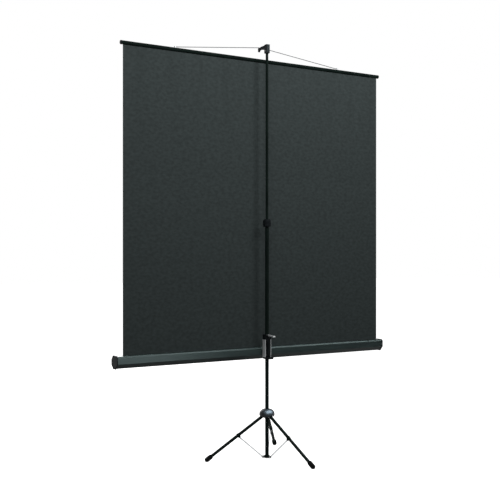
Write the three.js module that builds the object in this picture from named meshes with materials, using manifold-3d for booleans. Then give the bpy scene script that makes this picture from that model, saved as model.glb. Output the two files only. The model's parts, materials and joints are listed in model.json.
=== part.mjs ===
// Tripod projection screen, set up with its cloth drawn out.
// Millimetres, +Z up. The cloth's picture side faces -Y and the mast stands behind it, on the +Y side.

import * as THREE from 'three';
import { mergeVertices } from 'three/addons/utils/BufferGeometryUtils.js';
import Module from 'manifold-3d';

const wasm = await Module();
wasm.setup();

// Clearances
const fitGap = 0.3;            // between pieces that are fixed to each other
const slideGap = 0.4;          // between pieces that slide or turn on each other

// Mast
const mastRadius = 11.1;
const mastWall = 1.2;
const mastBottomZ = 5;
const mastTopZ = 1398;
const upperTubeRadius = 8;
const upperTubeWall = 1;
const upperTubeOverlap = 248;  // length of the upper tube that stays inside the lower one
const upperTubeReach = 1002;   // from the top of the lower tube to the hook head
const guideBushLength = 30;
const footPlugFlange = 2.5;
const footPlugDepth = 15;

// Twist lock at the top of the lower tube
const collarRadius = 23.5;
const collarHeight = 44.5;
const collarSkirt = 25.5;      // how far the collar reaches down over the lower tube
const collarGrooves = 10;
const grooveRadius = 3;
const colletWall = 3.6;
const colletFingers = 15;      // height of the fingers above the lower tube
const colletSlit = 1.6;

// Hook head
const headWidth = 20;
const headFront = 15;          // from the mast axis
const headBack = 16;
const headHeight = 52.5;
const headSocket = 35;
const beakWidth = 12;
const beakOverhang = 22;       // from the wire's notch to the beak's front
const beakDrop = 27.5;         // from the head's top down to the arm's root and to the beak's tip
const beakWaist = 9;           // thickness of the arm under the wire's notch
const beakTip = 4;             // thickness of the beak's downturned tip
const seatDepth = 6;           // from the head's top down to the middle of the wire
const hookPinRadius = 1.6;

// Cloth and roller
const clothWidth = 1780;
const clothThickness = 0.8;
const clothTuck = 12;          // length of the hem inside the slat
const rollerRadius = 16;
const rollerWall = 1;
const rollerHeight = 32;       // roller axis above the case's bottom
const rollerOverhang = 2;      // roller length past each side of the cloth
const rollerPlugLength = 18;
const rollerPlugFlange = 2;
const rollerEndPlay = 2;       // between each roller plug and the end cap beside it
const rollerPinRadius = 4;
const springWireRadius = 1;
const springTurns = 10;
const springPitch = 15;

// Top slat and its wire hanger
const slatRadius = 11;
const slatWall = 1.4;
const slatOverhang = 7;        // slat length past each side of the cloth
const slatCapThickness = 7.7;
const slatCapPlug = 5;
const slatSlit = 2.4;
const wireRadius = 2;
const wireRise = 62.5;           // from the hanger's eyes up to its middle
const wireBend = 4;            // length that each bend of the wire takes up on either side
const wireTail = 8;            // straight end of the wire past each eye
const eyeSpacing = 1140;
const eyeHeight = 5;           // from the slat's top to the middle of the eye
const eyeThickness = 5;
const eyeWidth = 10;

// Case
const caseSpareLength = 40;    // length of the case past the roller on the idle pin's side
const caseDepth = 72;
const caseHeight = 67;
const caseWall = 1.2;
const caseBackBevel = 7;
const caseFrontSlope = 18;     // depth of the slope at the top of the front
const caseFrontDrop = 20;      // height of that slope
const caseBackBelly = 25;      // height of the sloping underside at the back
const caseFrontBelly = 19;     // height of the sloping underside at the front
const caseBellyDepth = 21;
const caseSlot = 8;
const capThickness = 5.7;
const capLip = 3.5;
const capBevel = 1.5;
const capSpigot = 3;

// Carriage that carries the case on the mast
const carriageBottomZ = 590;
const carriageHeight = 143;
const carriageHalfWidth = 17.5;
const carriageFront = 15.5;    // from the mast axis
const carriageBack = 17;
const carriageCorner = 5;
const crownHeight = 28.5;      // of the wider block at the carriage's top
const crownHalfWidth = 21;
const lipThickness = 9.5;
const lipHalfWidth = 22;
const lipReach = 46;           // from the mast axis to the back of the hand rest
const gripHalfWidth = 7;
const gripDepth = 9;
const bracketThickness = 2;
const bracketSide = 32;        // depth of the bracket's sides
const pivotHeight = 39.5;      // case pivot above the carriage's bottom
const pivotDiscRadius = 22;
const pivotDiscThickness = 5.6;
const pivotRivetRadius = 4;
const pivotRivetHead = 6;
const pivotRivetHeadThickness = 1.1;

// Release lever and the brake shoe that it presses on the mast
const leverHalfWidth = 9;
const leverThickness = 7;
const leverLength = 62;        // from its pivot
const leverBoss = 4.5;
const leverPinRadius = 2;
const leverAxisDrop = 4;       // from the carriage's top
const leverDroop = 2.5;        // degrees
const leverEarThickness = 4.5;
const shoeHalfWidth = 7;
const shoeThickness = 4.6;
const shoeHeight = 16;
const shoeDrop = 7;            // from the lever's pivot down to the middle of the shoe

// Tripod
const legAzimuths = { a: -16.9, b: 103.1, c: 229.9 };   // degrees from +X
const hubPivotZ = 250;
const footPivotZ = 10;
const pivotRadius = 27;        // from the mast axis to the pivots in the hub and in the foot collar
const legRadius = 9.2;
const legWall = 1.2;
const legTopOverrun = 5;
const footCentreRadius = 363;
const footCentreZ = 11;
const footRadius = 14;
const footSleeve = 34;
const clipLength = 16;
const clipWall = 1.6;
const clipDrop = 18;           // from the leg's axis to the strut's pivot
const clipEarThickness = 2.2;
const strutHalfWidth = 4;
const strutEye = 5;
const strutThickness = 3;
const rivetRadius = 2;
const rivetHead = 3.5;
const rivetHeadThickness = 1.5;
const legPinRadius = 2.5;
const legPinHead = 4;
const hubSleeveWall = 4;
const hubSleeveBelow = 14;     // from the leg pivots down to the sleeve's bottom
const hubSleeveAbove = 35;     // from the leg pivots up to the sleeve's top
const hubEarThickness = 3.5;
const hubEarRadius = 7;
const hubPlateRadius = 38;
const hubPlateThickness = 4;
const hubPlateLift = 14;       // from the leg pivots up to the plate
const domeRadius = 45.7;
const domeRimRadius = 40.6;
const domeRimDrop = 1;         // from the leg pivots down to the dome's rim
const domeWaist = 11;          // from the leg pivots up to the dome's widest part
const domeCrown = 42.5;        // from the leg pivots up to the dome's top
const domeWall = 3;
const domeSlotGap = 1.4;       // beside each leg, where it passes through the dome's rim
const domeSlotTop = 6;         // from the leg pivots up to the top of that slot
const collarWall = 4.6;        // of the collar at the mast's foot
const collarHalfHeight = 7;
const collarEarThickness = 3.2;
const collarEarRadius = 6;

// Facets round each kind of piece
const tubeSides = 20;
const legSides = 16;
const pinSides = 8;
const domeSides = 28;

// Places worked out from the sizes
const mastBore = mastRadius - mastWall;
const hookBottomZ = mastTopZ + upperTubeReach;
const hookTopZ = hookBottomZ + headHeight;
const hookPinZ = hookBottomZ + headSocket * 0.4;
const seatZ = hookTopZ - seatDepth;
const eyeZ = seatZ - wireRise;
const slatZ = eyeZ - eyeHeight - slatRadius;
const pivotZ = carriageBottomZ + pivotHeight;
const bracketBackY = -carriageFront - fitGap;
const bracketFrontY = bracketBackY - bracketThickness;
const discBackY = bracketFrontY - fitGap;
const caseBackY = discBackY - pivotDiscThickness - fitGap;
const caseFrontY = caseBackY - caseDepth;
const caseBottomZ = pivotZ - (caseHeight + caseBackBelly - caseBackBevel) / 2;
const rollerZ = caseBottomZ + rollerHeight;
const rollerY = (caseBackY + caseFrontY) / 2 + 6.7;
const clothY = rollerY - rollerRadius - fitGap - clothThickness / 2;
const slatLength = clothWidth + 2 * slatOverhang;
const rollerLength = clothWidth + 2 * rollerOverhang;
const caseRightEnd = rollerLength / 2 + rollerPlugFlange + rollerEndPlay + capSpigot;
const caseLeftEnd = caseRightEnd + caseSpareLength;
const leftPinEnd = caseLeftEnd + capThickness / 2;
const rightPinEnd = caseRightEnd + capThickness / 2;
const leverY = carriageBack + leverBoss - slideGap;
const leverZ = carriageBottomZ + carriageHeight - leverAxisDrop;
const shoeBackY = mastRadius + fitGap + shoeThickness;
const shoeZ = leverZ - shoeDrop;
const legAngle = Math.atan2(footCentreRadius - pivotRadius, hubPivotZ - footCentreZ);
const legLength = (hubPivotZ - footCentreZ) / Math.cos(legAngle);
const halfRise = (hubPivotZ - footPivotZ) / 2;
const clipPlace = (halfRise - clipDrop * Math.sin(legAngle)) / Math.cos(legAngle);
const strutLength = Math.hypot(clipPlace, clipDrop);
const strutAngle = legAngle - Math.atan2(clipDrop, clipPlace);
const strutHalf = strutThickness / 2 + fitGap;
const earInside = legRadius + slideGap;

// Finishes
const blackPaint = finish('#181b1d', 0.38, 0.2);
const caseFinish = finish('#363c43', 0.42, 0.3);
const blackPlastic = finish('#1b1d1f', 0.5, 0);
const glossPlastic = finish('#141719', 0.2, 0);
const rubber = finish('#1a1b1b', 0.85, 0);
const zincSteel = finish('#a9adb0', 0.35, 0.9);
const brightSteel = finish('#c3c6c9', 0.22, 1);
const whiteNylon = finish('#d9d8d2', 0.55, 0);
const clothBlack = finish('#30363a', 0.9, 0);

function finish(colour, roughness, metalness) {
  return new THREE.MeshStandardMaterial({ color: colour, roughness, metalness });
}

function piece(name, geometry, material) {
  const mesh = new THREE.Mesh(geometry, material);
  mesh.name = name;
  return mesh;
}

// Closed meshes, and joins and cuts between them

function closed(geometry) {
  const bare = new THREE.BufferGeometry();
  bare.setAttribute('position', geometry.getAttribute('position').clone());
  if (geometry.index) bare.setIndex(geometry.index.clone());
  const merged = mergeVertices(bare, 1e-4);
  const corner = merged.index.array;
  const kept = [];
  for (let i = 0; i < corner.length; i += 3) {
    const [p, q, r] = [corner[i], corner[i + 1], corner[i + 2]];
    if (p !== q && q !== r && r !== p) kept.push(p, q, r);
  }
  merged.setIndex(kept);
  if (volume(merged) < 0) merged.setIndex(kept.reverse());
  return merged;
}

function volume(geometry) {
  const at = geometry.getAttribute('position');
  const corner = geometry.index.array;
  const [a, b, c] = [new THREE.Vector3(), new THREE.Vector3(), new THREE.Vector3()];
  let sum = 0;
  for (let i = 0; i < corner.length; i += 3) {
    a.fromBufferAttribute(at, corner[i]);
    b.fromBufferAttribute(at, corner[i + 1]);
    c.fromBufferAttribute(at, corner[i + 2]);
    sum += a.dot(b.cross(c)) / 6;
  }
  return sum;
}

function toSolid(geometry) {
  const shell = closed(geometry);
  return new wasm.Manifold(new wasm.Mesh({
    numProp: 3,
    vertProperties: new Float32Array(shell.getAttribute('position').array),
    triVerts: new Uint32Array(shell.index.array),
  }));
}

function toGeometry(solid) {
  const mesh = solid.getMesh();
  const geometry = new THREE.BufferGeometry();
  geometry.setAttribute('position', new THREE.BufferAttribute(mesh.vertProperties, 3));
  geometry.setIndex(new THREE.BufferAttribute(mesh.triVerts, 1));
  return geometry;
}

function join(first, ...others) {
  return toGeometry(others.reduce((sum, next) => sum.add(toSolid(next)), toSolid(first)));
}

function cut(first, ...others) {
  return toGeometry(others.reduce((rest, next) => rest.subtract(toSolid(next)), toSolid(first)));
}

// Basic shapes

// A profile of [radius, height] points turned about Z, closed on itself or on the axis.
function turned(profile, sides) {
  const points = profile.map(([radius, height]) => new THREE.Vector2(radius, height));
  return closed(new THREE.LatheGeometry(points, sides).rotateX(Math.PI / 2));
}

function ring(inner, outer, low, high, sides = tubeSides) {
  return turned([[inner, low], [outer, low], [outer, high], [inner, high], [inner, low]], sides);
}

function rod(radius, low, high, sides = pinSides) {
  return turned([[0, low], [radius, low], [radius, high], [0, high]], sides);
}

// A pin with a head at each end of its shaft.
function rivet(radius, head, headThickness, start, end) {
  return turned([
    [0, start - headThickness], [head, start - headThickness], [head, start], [radius, start],
    [radius, end], [head, end], [head, end + headThickness], [0, end + headThickness],
  ], pinSides);
}

function block(x, y, z) {
  const box = new THREE.BoxGeometry(x[1] - x[0], y[1] - y[0], z[1] - z[0]);
  return closed(box.translate((x[0] + x[1]) / 2, (y[0] + y[1]) / 2, (z[0] + z[1]) / 2));
}

function outlineShape(points) {
  return new THREE.Shape(points.map(([u, v]) => new THREE.Vector2(u, v)));
}

function roundedRectangle(left, right, low, high, radius) {
  const shape = new THREE.Shape();
  shape.moveTo(left + radius, low);
  shape.lineTo(right - radius, low);
  shape.absarc(right - radius, low + radius, radius, -Math.PI / 2, 0);
  shape.lineTo(right, high - radius);
  shape.absarc(right - radius, high - radius, radius, 0, Math.PI / 2);
  shape.lineTo(left + radius, high);
  shape.absarc(left + radius, high - radius, radius, Math.PI / 2, Math.PI);
  shape.lineTo(left, low + radius);
  shape.absarc(left + radius, low + radius, radius, Math.PI, 1.5 * Math.PI);
  return shape;
}

// A shape in (X, Y) extruded up from one height to another.
function upright(shape, low, high, curveSegments = 4) {
  const options = { depth: high - low, bevelEnabled: false, curveSegments };
  return closed(new THREE.ExtrudeGeometry(shape, options).translate(0, 0, low));
}

// A shape in (X, Z) extruded along Y.
function crosswise(shape, near, far, curveSegments = 4) {
  const options = { depth: far - near, bevelEnabled: false, curveSegments };
  return closed(new THREE.ExtrudeGeometry(shape, options).rotateX(Math.PI / 2).translate(0, far, 0));
}

// A shape in (Y, Z) turned so that its thickness runs along X.
function turnedLengthwise(geometry) {
  return geometry.rotateX(Math.PI / 2).rotateZ(Math.PI / 2);
}

function lengthwise(shape, left, right, curveSegments = 4) {
  const options = { depth: right - left, bevelEnabled: false, curveSegments };
  const geometry = turnedLengthwise(new THREE.ExtrudeGeometry(shape, options));
  return closed(geometry.translate(left, 0, 0));
}

function alongX(geometry, y, z) {
  return geometry.rotateY(Math.PI / 2).translate(0, y, z);
}

function alongY(geometry, x, z) {
  return geometry.rotateX(-Math.PI / 2).translate(x, 0, z);
}

// A path straight from point to point, with a section at each one.
class WirePath extends THREE.Curve {
  constructor(points) {
    super();
    this.points = points;
  }

  getPoint(t) {
    const place = t * (this.points.length - 1);
    const first = Math.min(Math.floor(place), this.points.length - 2);
    return this.points[first].clone().lerp(this.points[first + 1], place - first);
  }

  getPointAt(u) {
    return this.getPoint(u);
  }

  getTangentAt(u) {
    const step = 0.5 / (this.points.length - 1);
    return this.getPoint(Math.min(1, u + step)).sub(this.getPoint(Math.max(0, u - step))).normalize();
  }
}

function wireAlong(points, radius, curveSegments) {
  const section = new THREE.Shape().absarc(0, 0, radius, 0, 2 * Math.PI);
  const path = new WirePath(points);
  const options = { extrudePath: path, steps: points.length - 1, curveSegments, bevelEnabled: false };
  return closed(new THREE.ExtrudeGeometry(section, options));
}

// Mast

function mastPieces() {
  const lower = ring(mastBore, mastRadius, mastBottomZ, mastTopZ);
  const plugBottom = mastBottomZ - footPlugFlange;
  const plugTop = mastBottomZ + footPlugDepth;
  const plug = turned([
    [0, plugBottom], [mastRadius - 1, plugBottom], [mastRadius, plugBottom + 1],
    [mastRadius, mastBottomZ - fitGap], [mastBore - fitGap, mastBottomZ - fitGap],
    [mastBore - fitGap, plugTop], [0, plugTop],
  ], tubeSides);
  const upperBottom = mastTopZ - upperTubeOverlap;
  const upperTop = hookBottomZ + headSocket - fitGap;
  const tube = ring(upperTubeRadius - upperTubeWall, upperTubeRadius, upperBottom, upperTop);
  const bush = ring(upperTubeRadius + fitGap, mastBore - fitGap, upperBottom, upperBottom + guideBushLength);
  return [
    piece('mast_lower_tube', lower, blackPaint),
    piece('mast_foot_plug', plug, rubber),
    piece('mast_upper_tube', cut(tube, hookPinHole()), blackPaint),
    piece('upper_guide_bush', bush, whiteNylon),
  ];
}

// Twist lock: a split collet on the lower tube, squeezed by a grooved collar

function lockPieces() {
  const bottom = mastTopZ - collarSkirt;
  const seat = mastTopZ + fitGap;
  const fingerTop = seat + colletFingers;
  const skirtBore = mastRadius + fitGap;
  const colletRadius = skirtBore + colletWall;
  const bore = upperTubeRadius + fitGap;
  const tip = bore + 1.8;
  const collet = turned([
    [skirtBore, bottom + 3], [colletRadius, bottom + 3], [colletRadius, seat + 4], [tip, fingerTop],
    [bore, fingerTop], [bore, seat], [skirtBore, seat], [skirtBore, bottom + 3],
  ], tubeSides);
  const slitZ = [seat + 3, fingerTop + 1];
  const slitSpan = [-colletRadius - 1, colletRadius + 1];
  const slitWidth = [-colletSlit / 2, colletSlit / 2];
  const slits = [block(slitSpan, slitWidth, slitZ), block(slitWidth, slitSpan, slitZ)];

  const top = bottom + collarHeight;
  const inside = colletRadius + slideGap;
  const mouth = upperTubeRadius + 2 * slideGap;
  const collar = turned([
    [mastRadius + slideGap, bottom], [collarRadius - 2, bottom], [collarRadius, bottom + 4],
    [collarRadius, top - 15], [collarRadius - 2.5, top - 8], [collarRadius - 7, top - 3],
    [collarRadius - 9.5, top], [mouth, top], [mouth, fingerTop + slideGap],
    [tip + slideGap, fingerTop + slideGap], [inside, seat + 4], [inside, bottom + 3 - slideGap],
    [mastRadius + slideGap, bottom + 3 - slideGap], [mastRadius + slideGap, bottom],
  ], domeSides);
  const groove = rod(grooveRadius, bottom + 5, top - 13);
  const grooves = [];
  for (let i = 0; i < collarGrooves; i += 1) {
    const turn = (i / collarGrooves) * 2 * Math.PI;
    grooves.push(groove.clone().translate(collarRadius + grooveRadius * 0.5, 0, 0).rotateZ(turn));
  }
  return [
    piece('lock_collet', cut(collet, ...slits), whiteNylon),
    piece('lock_collar', cut(collar, ...grooves), blackPlastic),
  ];
}

// Hook head on the upper tube, with a beak that reaches over the cloth

function hookPinHole() {
  return alongX(rod(hookPinRadius + fitGap, -headWidth, headWidth), 0, hookPinZ);
}

function hookPieces() {
  const notch = wireRadius + fitGap;
  const floor = seatZ - notch;
  const noseTop = seatZ + 3;
  const low = hookTopZ - beakDrop;
  const waist = floor - beakWaist;
  const beakFront = clothY - beakOverhang;
  const armRoot = -headFront / 2;
  const arm = new THREE.Shape();
  arm.moveTo(armRoot, hookTopZ - 1);
  arm.lineTo(-headFront, hookTopZ - 1);
  arm.lineTo(clothY + notch + 3, seatZ + 4);
  arm.lineTo(clothY + notch, seatZ + 1);
  arm.lineTo(clothY + notch, floor);
  arm.lineTo(clothY - notch, floor);
  arm.lineTo(clothY - notch, seatZ + 1);
  arm.lineTo(clothY - notch - 2, noseTop);
  arm.lineTo(beakFront + 7, noseTop);
  arm.quadraticCurveTo(beakFront, noseTop, beakFront, noseTop - 8);
  arm.lineTo(beakFront, low + 2);
  arm.lineTo(beakFront + 1, low);
  arm.lineTo(beakFront + beakTip, low);
  arm.quadraticCurveTo(beakFront + 2 * beakTip, waist, clothY - notch, waist);
  arm.lineTo(clothY + notch, waist);
  arm.lineTo(-headFront, low);
  arm.lineTo(armRoot, low - 6);
  const head = new THREE.Shape();
  head.moveTo(headBack - 3, hookBottomZ);
  head.lineTo(headBack, hookBottomZ + 6);
  head.lineTo(headBack, hookTopZ - 5);
  head.quadraticCurveTo(headBack, hookTopZ, headBack - 5, hookTopZ);
  head.lineTo(-headFront + 2, hookTopZ);
  head.lineTo(-headFront, hookTopZ - 2);
  head.lineTo(-headFront, hookBottomZ + 6);
  head.lineTo(-headFront + 3, hookBottomZ);
  const body = join(
    lengthwise(head, -headWidth / 2, headWidth / 2), lengthwise(arm, -beakWidth / 2, beakWidth / 2),
  );
  const socket = rod(upperTubeRadius + fitGap, hookBottomZ - 1, hookBottomZ + headSocket, tubeSides);
  const pin = alongX(rod(hookPinRadius, -headWidth / 2, headWidth / 2), 0, hookPinZ);
  return [
    piece('hook_head', cut(body, socket, hookPinHole()), blackPlastic),
    piece('hook_pin', pin, zincSteel),
  ];
}

// Cloth

function clothPiece() {
  const half = clothThickness / 2;
  const top = slatZ - slatRadius + clothTuck;
  const sheet = block([-clothWidth / 2, clothWidth / 2], [clothY - half, clothY + half], [rollerZ, top]);
  return piece('screen_fabric', sheet, clothBlack);
}

// Slat in the cloth's top hem, with the wire hanger on two eyes

function hangerPoints() {
  const tail = eyeSpacing / 2 + wireTail;
  const low = eyeSpacing / 2 - eyeThickness - 2 * wireBend;
  const high = beakWidth / 2 + 1 + wireBend;
  const slope = wireRise / (low - high);
  const half = [
    [tail, eyeZ], [low + wireBend, eyeZ], [low, eyeZ + slope * wireBend * 0.25],
    [low - wireBend, eyeZ + slope * wireBend], [high + wireBend, seatZ - slope * wireBend],
    [high, seatZ - slope * wireBend * 0.25], [high - wireBend, seatZ],
  ];
  const right = half.map(([x, z]) => new THREE.Vector3(-x, clothY, z));
  const left = half.map(([x, z]) => new THREE.Vector3(x, clothY, z));
  return [...right, ...left.reverse()];
}

function slatPieces() {
  const half = slatLength / 2;
  const section = new THREE.Shape().absarc(clothY, slatZ, slatRadius, 0, 2 * Math.PI);
  section.holes.push(new THREE.Path().absarc(clothY, slatZ, slatRadius - slatWall, 0, 2 * Math.PI, true));
  const slitY = [clothY - slatSlit / 2, clothY + slatSlit / 2];
  const slatBottom = slatZ - slatRadius;
  const slit = block([-half - 1, half + 1], slitY, [slatBottom - 1, slatBottom + slatWall + 1]);
  const pieces = [piece('top_slat', cut(lengthwise(section, -half, half, 10), slit), blackPaint)];
  const plugRadius = slatRadius - slatWall - fitGap;
  const rim = slatRadius + 0.6;
  for (const [side, sign] of [['left', 1], ['right', -1]]) {
    const end = half + fitGap + slatCapThickness;
    const cap = turned([
      [0, half - slatCapPlug], [plugRadius, half - slatCapPlug], [plugRadius, half + fitGap],
      [rim, half + fitGap], [rim, end - 2], [rim - 2, end], [0, end],
    ], legSides);
    cap.rotateY(sign * Math.PI / 2).translate(0, clothY, slatZ);
    pieces.push(piece(`slat_end_cap_${side}`, cap, blackPlastic));

    const lug = new THREE.Shape();
    lug.moveTo(clothY - eyeWidth / 2, slatZ);
    lug.lineTo(clothY + eyeWidth / 2, slatZ);
    lug.lineTo(clothY + eyeWidth / 2, eyeZ);
    lug.absarc(clothY, eyeZ, eyeWidth / 2, 0, Math.PI);
    const eyeX = sign * eyeSpacing / 2;
    const plate = lengthwise(lug, eyeX - eyeThickness / 2, eyeX + eyeThickness / 2);
    const through = [eyeX - eyeThickness, eyeX + eyeThickness];
    const saddle = alongX(rod(slatRadius + fitGap, ...through, 40), clothY, slatZ);
    const hole = alongX(rod(wireRadius + fitGap, ...through), clothY, eyeZ);
    pieces.push(piece(`hanger_eye_${side}`, cut(plate, saddle, hole), zincSteel));
  }
  pieces.push(piece('hanger_wire', wireAlong(hangerPoints(), wireRadius, 4), brightSteel));
  return pieces;
}

// Case: an extruded shell with a slot for the cloth, closed by two moulded end caps

function caseOutline(grow) {
  const top = caseBottomZ + caseHeight;
  const corners = [
    [caseFrontY + caseBellyDepth, caseBottomZ], [caseBackY - caseBellyDepth, caseBottomZ],
    [caseBackY, caseBottomZ + caseBackBelly], [caseBackY, top - caseBackBevel],
    [caseBackY - caseBackBevel, top], [caseFrontY + caseFrontSlope, top],
    [caseFrontY, top - caseFrontDrop], [caseFrontY, caseBottomZ + caseFrontBelly],
  ];
  return outlineShape(offsetOutline(corners, grow));
}

// Moves each side of a convex outline outwards by the same distance.
function offsetOutline(corners, distance) {
  const count = corners.length;
  const sides = corners.map(([u, v], i) => {
    const [nextU, nextV] = corners[(i + 1) % count];
    const length = Math.hypot(nextU - u, nextV - v);
    const normal = [(nextV - v) / length, (u - nextU) / length];
    return { normal, reach: normal[0] * u + normal[1] * v + distance };
  });
  return sides.map((side, i) => {
    const last = sides[(i + count - 1) % count];
    const turn = last.normal[0] * side.normal[1] - last.normal[1] * side.normal[0];
    return [
      (last.reach * side.normal[1] - side.reach * last.normal[1]) / turn,
      (last.normal[0] * side.reach - side.normal[0] * last.reach) / turn,
    ];
  });
}

function casePieces() {
  const shell = lengthwise(caseOutline(0), -caseRightEnd, caseLeftEnd);
  const through = [-caseRightEnd - 1, caseLeftEnd + 1];
  const hollow = lengthwise(caseOutline(-caseWall), ...through);
  const slotY = [clothY - caseSlot / 2, clothY + caseSlot / 2];
  const slot = block(through, slotY, [pivotZ, caseBottomZ + caseHeight + 1]);
  const pieces = [piece('case_shell', cut(shell, hollow, slot, pivotRivetHole()), caseFinish)];
  const bevelled = {
    depth: capThickness - capBevel, bevelEnabled: true, bevelThickness: capBevel, bevelSize: capBevel,
    bevelSegments: 2, curveSegments: 4,
  };
  const ends = [['left', 1, caseLeftEnd, leftPinEnd], ['right', -1, caseRightEnd, rightPinEnd]];
  for (const [side, sign, end, pinEnd] of ends) {
    const face = end + fitGap;
    const plate = turnedLengthwise(new THREE.ExtrudeGeometry(caseOutline(capLip - capBevel), bevelled));
    const margin = caseDepth + capLip;
    const inner = block([face - 2 * capBevel, face], [caseFrontY - margin, caseBackY + margin],
      [caseBottomZ - margin, caseBottomZ + caseHeight + margin]);
    const spigot = lengthwise(caseOutline(-caseWall - fitGap), face - capSpigot, face + capThickness / 2);
    const pinHole = rod(rollerPinRadius + fitGap, face - capSpigot - 1, pinEnd + fitGap, tubeSides);
    const rim = cut(plate.translate(face, 0, 0), inner);
    const cap = cut(join(rim, spigot), alongX(pinHole, rollerY, rollerZ));
    const mirrored = closed(cap.scale(sign, 1, 1));
    pieces.push(piece(`case_end_cap_${side}`, mirrored, blackPlastic));
  }
  return pieces;
}

// Spring roller inside the case

function springPoints(start) {
  const coil = rollerPinRadius + slideGap + springWireRadius;
  const stepsPerTurn = 8;
  const points = [];
  for (let i = 0; i <= springTurns * stepsPerTurn; i += 1) {
    const turn = (i / stepsPerTurn) * 2 * Math.PI;
    const x = start + (i / stepsPerTurn) * springPitch;
    points.push(new THREE.Vector3(x, rollerY + coil * Math.cos(turn), rollerZ + coil * Math.sin(turn)));
  }
  return points;
}

function rollerPieces() {
  const half = rollerLength / 2;
  const bore = rollerRadius - rollerWall;
  const pinBore = rollerPinRadius + slideGap;
  const tube = alongX(ring(bore, rollerRadius, -half, half), rollerY, rollerZ);
  const pieces = [piece('roller_tube', tube, zincSteel)];
  for (const [side, sign] of [['left', 1], ['right', -1]]) {
    const flange = half + fitGap;
    const plugFace = flange + rollerPlugFlange;
    const plug = turned([
      [pinBore, half - rollerPlugLength], [bore - fitGap, half - rollerPlugLength], [bore - fitGap, flange],
      [rollerRadius, flange], [rollerRadius, plugFace], [pinBore, plugFace],
      [pinBore, half - rollerPlugLength],
    ], tubeSides);
    plug.rotateY(sign * Math.PI / 2).translate(0, rollerY, rollerZ);
    pieces.push(piece(`roller_end_plug_${side}`, plug, blackPlastic));
  }
  const idle = alongX(rod(rollerPinRadius, half - rollerPlugLength, leftPinEnd), rollerY, rollerZ);
  pieces.push(piece('roller_idle_pin', idle, zincSteel));

  const springStart = -half + rollerPlugLength + springWireRadius + fitGap;
  const stop = springStart + springTurns * springPitch + springWireRadius + fitGap;
  const anchor = bore - 2 * slideGap;
  const shaft = turned([
    [0, -rightPinEnd], [rollerPinRadius, -rightPinEnd], [rollerPinRadius, stop], [anchor, stop],
    [anchor, stop + 8], [0, stop + 8],
  ], tubeSides);
  pieces.push(piece('spring_shaft', alongX(shaft, rollerY, rollerZ), zincSteel));
  const coil = wireAlong(springPoints(springStart), springWireRadius, 3);
  pieces.push(piece('roller_spring', coil, brightSteel));
  return pieces;
}

// Carriage on the mast, with the bracket and pivot that hold the case

function pivotRivetHole() {
  return alongY(rod(pivotRivetRadius + fitGap, caseBackY - 2 * caseWall, 0, legSides), 0, pivotZ);
}

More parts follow.
